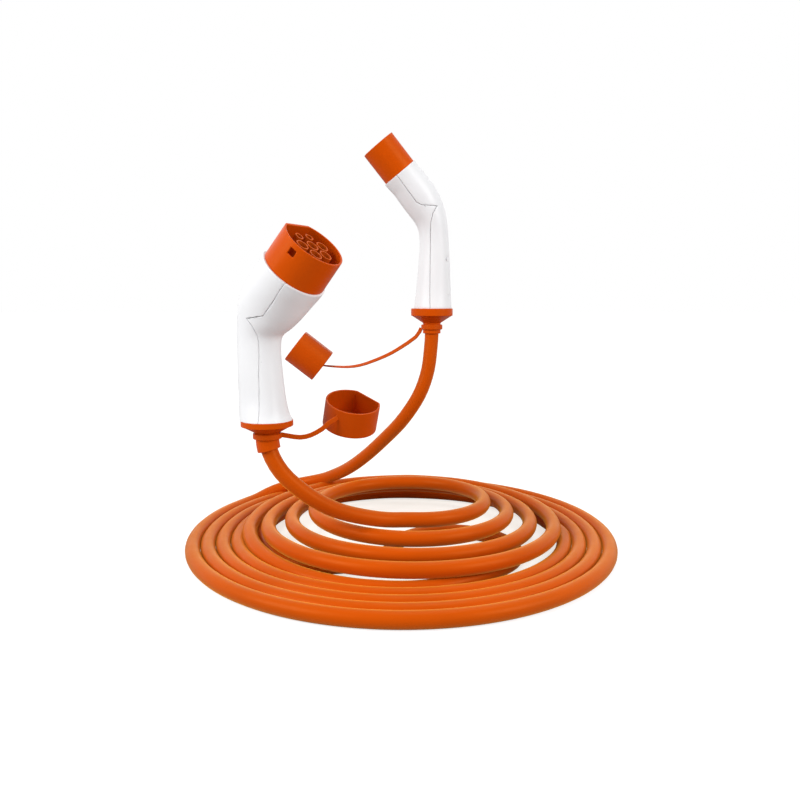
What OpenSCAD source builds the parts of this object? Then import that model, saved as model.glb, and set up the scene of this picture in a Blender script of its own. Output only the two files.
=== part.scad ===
// Charging cable for an electric car, in millimetres. One coiled cable joins a large plug for the
// charging point to a smaller connector for the car. Both stand on the cable's risen ends, and the
// cap of each hangs beside it on a strap. The origin is on the floor at the middle of the coil.

/* [Cable] */
// Outer diameter of the cable's sheath
cable_d = 17.2; // [15.5:0.1:18]
// Diameter of an insulated power conductor
power_core_d = 4.6; // [4:0.1:4.9]
// Diameter of an insulated signal conductor
signal_core_d = 2; // [1.6:0.1:2.6]
// Height in each grip at which the sheath ends and the conductors part
sheath_top = 50; // [48:1:54]

/* [Coil] */
// Outer radius of the coil on the floor
coil_r = 258; // [254:1:268]
// Radius of the open middle of the coil
coil_hole_r = 78; // [72:1:80]
// Radius at which the raised turns start
raised_r = 194; // [185:1:205]
// Height of the coil where the raised turns start
raised_height = 33; // [28:1:38]
// Height of the innermost turn
coil_height = 60.5; // [60:0.5:66]

/* [Contacts] */
// Radius of the circle on which the outer contacts stand
contact_circle_r = 15; // [14.7:0.1:15.1]
// Diameter of a power pin
power_pin_d = 6; // [5.4:0.1:6.4]
// Diameter of a signal pin
signal_pin_d = 3; // [2.4:0.1:3.4]
// Length of a pin above the carrier plate
pin_length = 22; // [20:0.5:23]
// Open gap round a power pin inside its collar
power_gap = 2.2; // [1.8:0.1:2.4]
// Open gap round a signal pin inside its collar
signal_gap = 1.7; // [1.4:0.1:2]
// Wall of a collar
collar_wall = 1.3; // [1:0.1:1.5]
// Wall of a socket tube in the connector
socket_wall = 0.95; // [0.8:0.05:1]
// Depth of the bore in a socket
socket_depth = 27; // [22:0.5:30]

/* [Plug head] */
// Tilt of the plug's face from the grip's axis, in degrees
plug_tilt = 42.5; // [40:0.5:45]
// Outer radius of the plug's skirt at the housing
plug_skirt_r = 32.4; // [32:0.1:33]
// How much narrower the skirt is at its rim
plug_skirt_draft = 0.8; // [0.4:0.1:1.2]
// Wall of the plug's skirt at the housing
plug_skirt_wall = 2.8; // [2.5:0.1:3.2]
// Length of the plug's skirt beyond the housing
plug_skirt_length = 36; // [35:0.5:40]
// Height of the collars above the carrier plate
plug_collar_height = 25; // [23.5:0.5:26]
// Thickness of the plug's carrier plate
plug_plate = 6; // [5:0.5:8]
// Side of a lock window in the skirt
lock_window = 7; // [6:0.5:9]

/* [Connector head] */
// Tilt of the connector's face from the grip's axis, in degrees
connector_tilt = 40; // [38:0.5:42]
// Outer radius of the connector's nose
nose_r = 21.8; // [21.7:0.1:22.4]
// Wall of the connector's nose
nose_wall = 1.9; // [1.6:0.1:2]
// Length of the nose beyond the housing
nose_length = 41.5; // [40:0.5:46]
// Distance of the contact carrier's face behind the rim of the nose
nose_recess = 3; // [2:0.5:6]

/* [Handles] */
// Wall of the white shells
shell_wall = 2.6; // [2:0.1:3]
// How far the plug's housing stands out past the skirt
plug_mouth_step = 1.8; // [1.2:0.1:2.4]
// How far the connector's housing stands out past the nose
nose_mouth_step = 1.6; // [1.2:0.1:2.2]
// Length of the spigots that the skirt and the nose put into the housings
spigot_length = 12; // [10:0.5:13]
// Thickness of the floor in each grip
floor_thickness = 3; // [2.5:0.1:4]
// Diameter of the shell screws
shell_screw_d = 3; // [2.5:0.1:3.5]
// Diameter of a shell screw's head
shell_screw_head_d = 5.6; // [5:0.1:6]
// Radius of a screw boss
boss_r = 3.9; // [3.6:0.1:4.2]
// Length of the cable clamp along the cable
clamp_length = 12; // [9:0.5:13]
// Diameter of the clamp screws
clamp_screw_d = 3; // [2.5:0.1:3.2]

/* [Strain reliefs] */
// Radius of the plug's flange
plug_flange_r = 26.4; // [25.5:0.1:27.5]
// Thickness of the plug's flange
plug_flange = 6; // [4:0.5:7]
// Radius of the plug's neck round the cable
plug_neck_r = 12.3; // [11.5:0.1:13.5]
// Angle by which the plug's neck bends with the cable, in degrees
plug_neck_bend = 14; // [10:1:18]
// Radius of the connector's flange
nose_flange_r = 26; // [25:0.1:27]
// Thickness of the connector's flange
nose_flange = 9; // [7:0.5:10]
// Radius of the connector's neck round the cable
nose_neck_r = 11; // [10.6:0.1:12]

/* [Caps] */
// Wall of the plug's cap
plug_cap_wall = 2; // [1.6:0.1:2.4]
// Depth of the plug's cap, over all
plug_cap_depth = 29; // [26:0.5:32]
// Wall of the connector's cap
nose_cap_wall = 3.4; // [2.6:0.1:3.6]
// Width of a strap
strap_width = 5; // [4:0.5:5.5]
// Thickness of a strap
strap_thickness = 1.6; // [1.2:0.1:2]

/* [Hidden] */

$fn = 64;
orange = [0.93, 0.37, 0.04];
dark_orange = [0.72, 0.27, 0.04];
white = [0.94, 0.94, 0.96];
silver = [0.75, 0.76, 0.78];
black = [0.12, 0.12, 0.13];

// Clearances
slip = 0.1;
seat = 0.3;
cap_slip = 0.3;
cut = 1;

// Where the two handles stand and which way they face
plug_at = [-136, -138, 172];
plug_turn = -31;
connector_at = [39, 47, 282];
connector_turn = 192;

// Cable and its conductors
cable_r = cable_d / 2;
core_circle_r = 5.2;
power_angles = [0, 180, 240, 300];
signal_angles = [60, 120];
tail_end = -14;
core_bend = -26;
core_steps = 3;
core_sides = 8;
sheath_sides = 20;
lead_sides = 12;
coil_sides = 128;
plug_core_rise = 25;
connector_core_rise = 45;

// Heads, each in a frame at the middle of the housing's mouth with the face toward +Z
plug_head = [39.7, 147];
connector_head = [40.7, 163];
face_flat = 0.16;
plug_set_back = face_flat * plug_skirt_r;
nose_set_back = face_flat * nose_r;
ledge = 2;
plug_skirt_inner_r = plug_skirt_r - plug_skirt_wall;
nose_inner_r = nose_r - nose_wall;
plug_mouth_r = plug_skirt_r + plug_mouth_step;
nose_mouth_r = nose_r + nose_mouth_step;
plug_pocket_r = plug_mouth_r - shell_wall;
nose_pocket_wall = 2;
nose_pocket_r = nose_mouth_r - nose_pocket_wall;
plug_spigot_r = plug_pocket_r - seat;
nose_spigot_r = nose_pocket_r - seat;
plug_ledge_width = 2.7;
plug_ledge_r = plug_skirt_inner_r - plug_ledge_width;
groove_at = -6;
groove_width = 2;
plug_groove = 1.5;
nose_groove = 0.8;
windows = [[-80, 27], [52, 18]];

// Contacts
power_pin_r = power_pin_d / 2;
signal_pin_r = signal_pin_d / 2;
signal_pin_drop = 2;
plate_pin_step = 0.6;
power_tail_r = 4;
signal_tail_r = 2.6;
socket_slip = 0.05;
power_socket_r = power_pin_r + socket_slip + socket_wall;
signal_socket_r = signal_pin_r + socket_slip + socket_wall;
nose_ledge_r = contact_circle_r + power_socket_r + 2 * slip;
socket_shoulder = 4;
shoulder_step = 0.4;
entry_wall = 2;
entry_step = 0.35;
nose_face = nose_length - nose_recess;
socket_tip = nose_face - entry_wall;

// Grips: each row of an outline is [back x, z, front x, z, half width], from the flange up
plug_grip = [
    [-28, 0, 26, 0, 26],
    [-29.5, 8, 22.5, 8, 24],
    [-30.6, 22, 20, 22, 21.5],
    [-31, 45, 17, 45, 20.5],
    [-30.8, 70, 14.8, 70, 20],
    [-30.6, 90, 17.5, 84, 21],
    [-28.8, 108, 30, 92, 23.5],
    [-24.3, 125, 42, 101.5, 27],
    [-10, 143, 52.5, 112, 31]];
connector_grip = [
    [-24.5, 0, 22.5, 0, 24],
    [-23.5, 20, 20, 20, 21],
    [-21.8, 60, 16.3, 60, 19.5],
    [-19.5, 90, 15.6, 86, 19.5],
    [-17.5, 108, 19.5, 101, 20.3],
    [-13, 126, 29.5, 114, 21.5],
    [-3.5, 145, 40, 127, 22.5],
    [9, 161, 46.5, 135.5, 22.8]];
plug_seam = [[9.1, 0], [6.7, 24], [5.9, 52], [6.1, 86.5], [4.1, 95], [-1.8, 103], [19.4, 105.6],
    [36.4, 120.5]];
plug_seam_mouth = 16.5;
connector_seam = [[7.9, 0], [7.1, 36], [6.6, 70], [6.9, 103], [4.8, 113.6], [-0.4, 122.4],
    [18.6, 123], [24.4, 126], [32.7, 136.3], [41.2, 147]];
connector_seam_mouth = 10.5;
seam_reach = 130;
grip_reach = 50;
collar_back = 9;
collar_swell = 0.6;
collar_flat = 0.8;
loft_sides = 32;
loft_steps = 2;

// Inside the grips
floor_hole_r = 14;
lip_r = 17;
lip_height = 3;
clamp_at = 34;
rib = 2.5;
rib_hole_r = 10;
clamp_r = 12.5;
clamp_split = 0.3;
ear_width = 15;
ear_depth = 4;
clamp_screw_y = 12.2;
clamp_head_r = 2.6;
clamp_head = 2.2;
boss_y = 13.6;
boss_rows = [14, 60];
screw_row_end = 5;
plug_screw_seats = [-18, -19];
plug_screw_tips = [12.5, 8.2];
connector_screw_seats = [-13, -12];
connector_screw_tips = [12.5, 9.2];
shell_screw_head = 2.2;

// Strain reliefs
plug_cone = 7;
plug_cone_r = 25;
plug_neck = 6;
plug_neck_side = 24;
neck_bend_r = 50;
neck_step = 0.4;
nose_cone = 9;
nose_cone_r = 25;
nose_neck = 13;

// Caps, each placed by the middle of its rim or of its closed end
plug_cap_r = plug_skirt_inner_r - cap_slip;
plug_cap_at = [-51, -98, 185];
plug_cap_turn = [0, 20, -60.7];
plug_cap_roll = -69.3;
plug_cap_floor = 2.4;
nose_cap_inner_r = nose_r + seat;
nose_cap_depth = nose_length + 2;
nose_cap_at = [-108, 140, 202];
nose_cap_turn = [0, 51.7, 183.7];
nose_cap_floor = 3.6;
ring_wall = 2.2;
plug_ring_height = 5.4;
nose_ring_height = 6;
nose_ring_drop = 2;

// Routes of the cable's free stretches and of the straps, from the handle outward
plug_route = [[-130, -139, 129], [-122, -140.5, 117], [-111, -140, 106], [-94, -136, 91],
    [-75, -127, 77], [-56, -115, 66.5], [-30, -101, 57], [0, -90, 51.6]];
connector_route = [[38, 46, 235], [34, 43, 204], [23, 42, 173], [3, 50, 141], [-19, 70, 114],
    [-48, 100, 82], [-76, 128, 57], [-108, 157, 37], [-125, 168, 29.5], [-147, 175, 25.5],
    [-168, 172, 23.5], [-186, 162, 18.5], [-202, 145, 10.5], [-213, 126, 8.6]];
plug_strap_route = [[-122, -139.6, 157], [-114, -139, 155.5], [-103, -136, 153.5],
    [-92.5, -132, 155], [-81, -129, 161], [-74, -126.5, 167], [-64.8, -120.2, 171.8]];
nose_strap_route = [[26, 50.5, 257.5], [19, 54, 246], [-3, 68, 230], [-20, 80, 220],
    [-45, 96, 209], [-62, 107, 204], [-79, 119, 202], [-100, 133, 202], [-108.3, 140, 202.3]];

// Places derived from the strain reliefs
plug_neck_drop = plug_flange + plug_cone + plug_neck;
plug_neck_way = plug_turn + plug_neck_side;
plug_neck_shift = neck_bend_r * (1 - cos(plug_neck_bend));
plug_neck_end = plug_at + [plug_neck_shift * cos(plug_neck_way),
    plug_neck_shift * sin(plug_neck_way), -plug_neck_drop - neck_bend_r * sin(plug_neck_bend)];
plug_neck_heading = [sin(plug_neck_bend) * cos(plug_neck_way),
    sin(plug_neck_bend) * sin(plug_neck_way), -cos(plug_neck_bend)];
nose_neck_drop = nose_flange + nose_cone + nose_neck;
nose_neck_end = connector_at - [0, 0, nose_neck_drop];

// The sheath's line in the plug, from its end down through the bent neck
neck_path = concat([[0, 0, sheath_top]], [for (a = [0:plug_neck_bend / 4:plug_neck_bend])
    [neck_bend_r * (1 - cos(a)), 0, -plug_neck_drop - neck_bend_r * sin(a)]]);

// The coil's section: flat turns outside, then turns that climb toward the middle
coil_climb = 1.6;
inner_turn_r = coil_hole_r + cable_d + 2;
coil_slope = [for (s = [0:0.25:1]) [raised_r - (raised_r - inner_turn_r) * s,
    raised_height + (coil_height - raised_height) * pow(s, coil_climb)]];
coil_section = concat([[coil_hole_r, 0], [coil_r, 0], [coil_r, cable_d],
    [raised_r + cable_r, cable_d]], coil_slope, [[coil_hole_r, coil_height]]);

// A point of a smooth curve through four points
function blend(a, b, c, d, t) = 0.5 * (2 * b + (c - a) * t + (2 * a - 5 * b + 4 * c - d) * t * t
    + (3 * b - a - 3 * c + d) * t * t * t);

// A list of points or rows, made finer by smooth curves between them
function smooth(list, steps) = let (last = len(list) - 1) [
    for (i = [0:last - 1], k = [0:steps - 1])
        blend(list[max(i - 1, 0)], list[i], list[i + 1], list[min(i + 2, last)], k / steps),
    list[last]];

function unit(v) = v / norm(v);

// Heading of a route at one of its points; its first and last headings can be given
function heading(route, i, first, last) = i == 0 && !is_undef(first) ? first
    : i == len(route) - 1 && !is_undef(last) ? last
    : unit(route[min(i + 1, len(route) - 1)] - route[max(i - 1, 0)]);

// Place of a head's point (across the face, out of the face) in the handle's side view
function head_point(head, tilt, across, out) = head
    + [across * cos(tilt) + out * sin(tilt), out * cos(tilt) - across * sin(tilt)];

// A row of a handle's outline at a distance out of its mouth, with the face's flat in the last value
function head_row(head, tilt, r, out, set_back) = concat(head_point(head, tilt, -r, out),
    head_point(head, tilt, r, out), [r, 1 - set_back / r]);

// Rows of a handle's outer outline
function outer_rows(grip, head, tilt, mouth_r, set_back) = smooth(concat(
    [for (row = grip) concat(row, [1])],
    [head_row(head, tilt, mouth_r - collar_swell, -collar_back, collar_flat * set_back),
    head_row(head, tilt, mouth_r, 0, set_back)]), loft_steps);

// Rows of the hollow, which ends inside the mouth's pocket
function inner_rows(grip, head, tilt, mouth_r, set_back) = smooth(concat(
    [for (row = grip) concat(row, [1])],
    [head_row(head, tilt, mouth_r - collar_swell, -spigot_length / 2, collar_flat * set_back)]),
    loft_steps);

// Points of one section of a handle: an ellipse, cut flat on its back side
function section(row, wall) = let (back = [row[0], row[1]], front = [row[2], row[3]],
    middle = (back + front) / 2, deep = norm(front - back) / 2, way = (front - back) / (2 * deep)) [
    for (i = [0:loft_sides - 1]) let (a = 360 * i / loft_sides,
        across = max(cos(a) * (deep - wall), wall - row[5] * deep))
        [middle[0] + way[0] * across, sin(a) * (row[4] - wall), middle[1] + way[1] * across]];

// Round section of a cable or conductor, square to its heading
function tube_ring(at, way, aside, r, sides) =
    let (side = unit(cross(way, aside)), up = cross(way, side)) [
    for (i = [0:sides - 1]) let (a = 360 * i / sides) at + r * (cos(a) * side + sin(a) * up)];

// Flat section of a strap, square to its heading
function strap_ring(at, way, wide) = let (w = unit(wide - way * (wide * way)), t = cross(way, w)) [
    for (c = [[-1, -1], [1, -1], [1, 1], [-1, 1]])
        at + w * c[0] * strap_width / 2 + t * c[1] * strap_thickness / 2];

// Place of a contact on its circle, across the face
function contact_place(angle) = contact_circle_r * [-sin(angle), cos(angle)];

// A closed solid through a list of rings that all have the same number of points
module loft(rings) {
    n = len(rings[0]);
    top = (len(rings) - 1) * n;
    polyhedron(
        points = [for (ring = rings) each ring],
        faces = concat(
            [[for (j = [0:n - 1]) j]],
            [for (i = [0:len(rings) - 2], j = [0:n - 1])
                [i * n + j, (i + 1) * n + (j + 1) % n, i * n + (j + 1) % n]],
            [for (i = [0:len(rings) - 2], j = [0:n - 1])
                [i * n + j, (i + 1) * n + j, (i + 1) * n + (j + 1) % n]],
            [[for (j = [n - 1:-1:0]) top + j]]));
}

// A round face with one flat side
module dee(r, set_back) {
    intersection() {
        circle(r);
        translate([set_back - r, -r])
            square(2 * r);
    }
}

// A prism with that face, from one height to another
module dee_prism(r, set_back, low, high) {
    translate([0, 0, low])
        linear_extrude(high - low)
            dee(r, set_back);
}

// A tube along a path, with its first and last headings
module tube(path, first, last, aside, r, sides) {
    loft([for (i = [0:len(path) - 1])
        tube_ring(path[i], heading(path, i, first, last), aside, r, sides)]);
}

module at_plug() {
    translate(plug_at)
        rotate([0, 0, plug_turn])
            children();
}

module at_connector() {
    translate(connector_at)
        rotate([0, 0, connector_turn])
            children();
}

module at_head(head, tilt) {
    translate([head[0], 0, head[1]])
        rotate([0, tilt, 0])
            children();
}

module at_plug_head() {
    at_plug()
        at_head(plug_head, plug_tilt)
            children();
}

module at_connector_head() {
    at_connector()
        at_head(connector_head, connector_tilt)
            children();
}

// Places its children at the outer contacts of the given angles
module at_contacts(angles) {
    for (angle = angles)
        translate(contact_place(angle))
            children();
}

// The orange sleeve of a head: a thin collar outside and a spigot with a seal groove inside
module head_sleeve(r, rim_r, wall, length, set_back, spigot_r, ledge_r, groove) {
    difference() {
        union() {
            intersection() {
                cylinder(h = length, r1 = r, r2 = rim_r);
                translate([set_back - r, -r, 0])
                    cube([2 * r, 2 * r, length]);
            }
            dee_prism(spigot_r, set_back, -spigot_length, cut);
        }
        dee_prism(r - wall, set_back, ledge, length + cut);
        dee_prism(ledge_r, set_back, -spigot_length - cut, length);
        difference() {
            dee_prism(spigot_r + cut, set_back, groove_at, groove_at + groove_width);
            dee_prism(spigot_r - groove, set_back, groove_at - cut, groove_at + groove_width + cut);
        }
    }
}

// The ring that fills a sleeve's seal groove
module seal(spigot_r, pocket_r, set_back, groove) {
    difference() {
        dee_prism(pocket_r - slip, set_back, groove_at + slip, groove_at + groove_width - slip);
        dee_prism(spigot_r - groove + slip, set_back, groove_at - cut, groove_at + groove_width + cut);
    }
}

// A pin with a round tip, a thicker root in the plate and a tail behind it
module pin(r, tail_r, tip) {
    rotate_extrude()
        polygon(concat(
            [[0, tail_end], [tail_r, tail_end], [tail_r, ledge], [r + plate_pin_step, ledge],
            [r + plate_pin_step, ledge + plug_plate], [r, ledge + plug_plate]],
            [for (a = [0:15:90]) [r * cos(a), tip - r + r * sin(a)]]));
}

// A socket: a tube open at its tip, with a shoulder that seats in the carrier
module socket(r, bore_r, tip) {
    difference() {
        union() {
            translate([0, 0, tail_end])
                cylinder(h = tip - tail_end, r = r);
            translate([0, 0, ledge])
                cylinder(h = socket_shoulder, r = r + shoulder_step);
        }
        translate([0, 0, tip - socket_depth])
            cylinder(h = socket_depth + cut, r = bore_r);
    }
}

// The solid whose edge is the seam, toward the front of a handle
module seam_side(seam, head, tilt, mouth) {
    far = seam_reach;
    rotate([90, 0, 0])
        linear_extrude(2 * far, center = true)
            polygon(concat([[seam[0][0], -far]], seam, [head_point(head, tilt, mouth, 0),
                head_point(head, tilt, mouth, far), head_point(head, tilt, far, far), [2 * far, -far]]));
}

// The whole hollow handle, before the seam parts it into its two shells
module handle(grip, head, tilt, mouth_r, set_back, pocket_r, seats, tips) {
    reach = grip_reach;
    difference() {
        loft([for (row = outer_rows(grip, head, tilt, mouth_r, set_back)) section(row, 0)]);
        difference() {
            loft([for (row = inner_rows(grip, head, tilt, mouth_r, set_back))
                section(row, shell_wall)]);
            translate([-reach, -reach, -cut])
                cube([2 * reach, 2 * reach, floor_thickness + cut]);
            for (z = [clamp_at - rib, clamp_at + clamp_length])
                translate([0, 0, z])
                    clamp_rib();
            for (z = boss_rows, y = [-boss_y, boss_y])
                translate([-reach, y, z])
                    rotate([0, 90, 0])
                        cylinder(h = 2 * reach, r = boss_r);
        }
        at_head(head, tilt)
            dee_prism(pocket_r, set_back, -spigot_length - seat, cut);
        translate([0, 0, -cut])
            cylinder(h = floor_thickness + 2 * cut, r = floor_hole_r + seat);
        for (i = [0, 1], y = [-boss_y, boss_y]) {
            translate([seats[i], y, boss_rows[i]])
                rotate([0, -90, 0])
                    cylinder(h = reach, r = shell_screw_head_d / 2 + seat);
            translate([seats[i] - cut, y, boss_rows[i]])
                rotate([0, 90, 0])
                    cylinder(h = tips[i] - seats[i] + cut + seat, r = shell_screw_d / 2 + slip);
        }
    }
}

// A rib across the grip with a hole for the cable, which traps the clamp
module clamp_rib() {
    difference() {
        translate([-grip_reach, -grip_reach, 0])
            cube([2 * grip_reach, 2 * grip_reach, rib]);
        translate([0, 0, -cut])
            cylinder(h = rib + 2 * cut, r = rib_hole_r);
    }
}

// Two saddles that grip the cable's sheath
module cable_clamp() {
    translate([0, 0, clamp_at])
        difference() {
            union() {
                cylinder(h = clamp_length, r = clamp_r);
                translate([-ear_depth, -ear_width, 0])
                    cube([2 * ear_depth, 2 * ear_width, clamp_length]);
            }
            translate([0, 0, -cut])
                cylinder(h = clamp_length + 2 * cut, r = cable_r + slip);
            translate([-clamp_split, -ear_width - cut, -cut])
                cube([2 * clamp_split, 2 * ear_width + 2 * cut, clamp_length + 2 * cut]);
            for (y = [-clamp_screw_y, clamp_screw_y]) {
                translate([-ear_depth - cut, y, clamp_length / 2])
                    rotate([0, 90, 0])
                        cylinder(h = 2 * ear_depth + 2 * cut, r = clamp_screw_d / 2 + slip);
                translate([-ear_depth, y, clamp_length / 2])
                    rotate([0, -90, 0])
                        cylinder(h = clamp_r, r = clamp_head_r + seat);
            }
        }
}

// A pan-head screw along +X, its head's seat at the origin
module screw(d, head_r, head_height, length) {
    rotate([0, 90, 0]) {
        translate([0, 0, -head_height])
            cylinder(h = head_height, r = head_r);
        cylinder(h = length, r = d / 2);
    }
}

module clamp_screws() {
    for (y = [-clamp_screw_y, clamp_screw_y])
        translate([-ear_depth, y, clamp_at + clamp_length / 2])
            screw(clamp_screw_d, clamp_head_r, clamp_head, 2 * ear_depth);
}

module shell_screws(seats, tips) {
    for (i = [0, 1], y = [-boss_y, boss_y])
        translate([seats[i], y, boss_rows[i]])
            screw(shell_screw_d, shell_screw_head_d / 2, shell_screw_head, tips[i] - seats[i]);
}

// Flush white plugs that fill the holes over the shell screws' heads
module hole_plugs(grip, head, tilt, mouth_r, set_back, seats) {
    rows = outer_rows(grip, head, tilt, mouth_r, set_back);
    intersection() {
        loft([for (i = [0:loft_steps * screw_row_end]) section(rows[i], 0)]);
        for (i = [0, 1], y = [-boss_y, boss_y])
            translate([seats[i] - shell_screw_head, y, boss_rows[i]])
                rotate([0, -90, 0])
                    cylinder(h = grip_reach, r = shell_screw_head_d / 2 + seat - slip);
    }
}

// A piece of a round bent pipe that starts downward and bends toward +X
module bent_pipe(r) {
    translate([neck_bend_r, 0, 0])
        rotate([90, 0, 0])
            rotate([0, 0, 180])
                rotate_extrude(angle = plug_neck_bend)
                    translate([neck_bend_r, 0])
                        circle(r);
}

// The parts of a strain relief that stand under a handle and reach through its floor
module strain_relief(flange_r, flange, cone_r, cone, neck_r, neck) {
    bore_r = cable_r + slip;
    difference() {
        union() {
            translate([0, 0, -flange])
                cylinder(h = flange, r = flange_r);
            translate([0, 0, -flange - cone])
                cylinder(h = cone, r1 = neck_r, r2 = cone_r);
            translate([0, 0, -flange - cone - neck])
                cylinder(h = neck, r = neck_r);
            cylinder(h = floor_thickness + seat + lip_height, r = floor_hole_r);
            translate([0, 0, floor_thickness + seat])
                cylinder(h = lip_height, r = lip_r);
        }
        translate([0, 0, -flange - cone - neck - cut])
            cylinder(h = flange + cone + neck + floor_thickness + seat + lip_height + 2 * cut,
                r = bore_r);
    }
}

// The conductors inside a handle, each on its way from the sheath to its contact
module conductors(head, tilt, rise) {
    for (angle = power_angles)
        conductor(contact_place(angle), head, tilt, rise, power_core_d / 2);
    conductor([0, 0], head, tilt, rise, power_core_d / 2);
    for (angle = signal_angles)
        conductor(contact_place(angle), head, tilt, rise, signal_core_d / 2);
}

module conductor(place, head, tilt, rise, r) {
    low = place * core_circle_r / contact_circle_r;
    bend_at = head_point(head, tilt, place[0], core_bend);
    end_at = head_point(head, tilt, place[0], tail_end);
    route = [[low[0], low[1], sheath_top - cut], [low[0], low[1], sheath_top + rise],
        [bend_at[0], place[1], bend_at[1]], [end_at[0], place[1], end_at[1]]];
    tube(smooth(route, core_steps), [0, 0, 1], [sin(tilt), 0, cos(tilt)], [0, 1, 0], r, core_sides);
}

module plug_skirt() {
    color(orange)
        at_plug_head()
            difference() {
                head_sleeve(plug_skirt_r, plug_skirt_r - plug_skirt_draft, plug_skirt_wall,
                    plug_skirt_length, plug_set_back, plug_spigot_r, plug_ledge_r, plug_groove);
                for (window = windows)
                    rotate([0, 0, window[0]])
                        translate([plug_ledge_r, -lock_window / 2, window[1] - lock_window / 2])
                            cube([plug_skirt_r, lock_window, lock_window]);
            }
}

module plug_carrier() {
    power_well_r = power_pin_r + power_gap;
    signal_well_r = signal_pin_r + signal_gap;
    top = ledge + plug_plate + plug_collar_height;
    color(dark_orange)
        at_plug_head()
            difference() {
                union() {
                    dee_prism(plug_skirt_inner_r - slip, plug_set_back, ledge, ledge + plug_plate);
                    translate([0, 0, ledge])
                        cylinder(h = top - ledge, r = power_well_r + collar_wall);
                    at_contacts(power_angles)
                        translate([0, 0, ledge])
                            cylinder(h = top - ledge, r = power_well_r + collar_wall);
                    at_contacts(signal_angles)
                        translate([0, 0, ledge])
                            cylinder(h = top - ledge, r = signal_well_r + collar_wall);
                }
                contact_well(power_pin_r, power_well_r);
                at_contacts(power_angles)
                    contact_well(power_pin_r, power_well_r);
                at_contacts(signal_angles)
                    contact_well(signal_pin_r, signal_well_r);
            }
}

// The stepped hole of one contact in the plug's carrier
module contact_well(pin_r, well_r) {
    translate([0, 0, ledge - cut])
        cylinder(h = plug_plate + 2 * cut, r = pin_r + plate_pin_step + slip);
    translate([0, 0, ledge + plug_plate])
        cylinder(h = plug_collar_height + cut, r = well_r);
}

module plug_power_pins() {
    tip = ledge + plug_plate + pin_length;
    color(silver)
        at_plug_head() {
            pin(power_pin_r, power_tail_r, tip);
            at_contacts(power_angles)
                pin(power_pin_r, power_tail_r, tip);
        }
}

module plug_signal_pins() {
    color(silver)
        at_plug_head()
            at_contacts(signal_angles)
                pin(signal_pin_r, signal_tail_r, ledge + plug_plate + pin_length - signal_pin_drop);
}

module plug_seal() {
    color(black)
        at_plug_head()
            seal(plug_spigot_r, plug_pocket_r, plug_set_back, plug_groove);
}

module plug_handle() {
    handle(plug_grip, plug_head, plug_tilt, plug_mouth_r, plug_set_back, plug_pocket_r,
        plug_screw_seats, plug_screw_tips);
}

module plug_back_shell() {
    color(white)
        at_plug()
            difference() {
                plug_handle();
                seam_side(plug_seam, plug_head, plug_tilt, plug_seam_mouth);
            }
}

module plug_front_shell() {
    color(white)
        at_plug()
            intersection() {
                plug_handle();
                seam_side(plug_seam, plug_head, plug_tilt, plug_seam_mouth);
            }
}

module plug_cable_clamp() {
    color(black)
        at_plug()
            cable_clamp();
}

module plug_clamp_screws() {
    color(silver)
        at_plug()
            clamp_screws();
}

module plug_shell_screws() {
    color(silver)
        at_plug()
            shell_screws(plug_screw_seats, plug_screw_tips);
}

module plug_hole_plugs() {
    color(white)
        at_plug()
            hole_plugs(plug_grip, plug_head, plug_tilt, plug_mouth_r, plug_set_back, plug_screw_seats);
}

module plug_strain_relief() {
    color(orange)
        at_plug() {
            strain_relief(plug_flange_r, plug_flange, plug_cone_r, plug_cone, plug_neck_r, plug_neck);
            translate([0, 0, -plug_neck_drop])
                rotate([0, 0, plug_neck_side])
                    difference() {
                        bent_pipe(plug_neck_r - neck_step);
                        bent_pipe(cable_r + 2 * slip);
                    }
        }
}

module plug_cable_end() {
    color(orange)
        at_plug() {
            rotate([0, 0, plug_neck_side])
                tube(neck_path, [0, 0, -1], [sin(plug_neck_bend), 0, -cos(plug_neck_bend)],
                    [0, 1, 0], cable_r, sheath_sides);
            conductors(plug_head, plug_tilt, plug_core_rise);
        }
}

// The plug's cap: a cup that goes inside the skirt round the collars, on a strap with a ring
module plug_cap() {
    color(orange) {
        translate(plug_cap_at)
            rotate(plug_cap_turn)
                rotate([0, 0, plug_cap_roll])
                    difference() {
                        dee_prism(plug_cap_r, plug_set_back, -plug_cap_depth, 0);
                        dee_prism(plug_cap_r - plug_cap_wall, plug_set_back,
                            plug_cap_floor - plug_cap_depth, cut);
                    }
        strap(plug_strap_route, [0, 0, 1], [0, 0, 1]);
        translate(plug_at - [0, 0, plug_neck_drop])
            neck_ring(plug_neck_r, plug_ring_height);
    }
}

// A ring that a cap's strap holds to a neck
module neck_ring(neck_r, height) {
    difference() {
        cylinder(h = height, r = neck_r + slip + ring_wall);
        translate([0, 0, -cut])
            cylinder(h = height + 2 * cut, r = neck_r + slip);
    }
}

// A flat strap along its route, its width turning from one way to another
module strap(route, first_width, last_width) {
    path = smooth(route, 2);
    last = len(path) - 1;
    loft([for (i = [0:last])
        strap_ring(path[i], heading(path, i), first_width + (last_width - first_width) * i / last)]);
}

module connector_nose() {
    color(orange)
        at_connector_head()
            head_sleeve(nose_r, nose_r, nose_wall, nose_length, nose_set_back, nose_spigot_r, nose_ledge_r,
                nose_groove);
}

module connector_carrier() {
    color(dark_orange)
        at_connector_head()
            difference() {
                dee_prism(nose_inner_r - slip, nose_set_back, ledge, nose_face);
                socket_hole(power_socket_r, power_pin_r);
                at_contacts(power_angles)
                    socket_hole(power_socket_r, power_pin_r);
                at_contacts(signal_angles)
                    socket_hole(signal_socket_r, signal_pin_r);
            }
}

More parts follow.
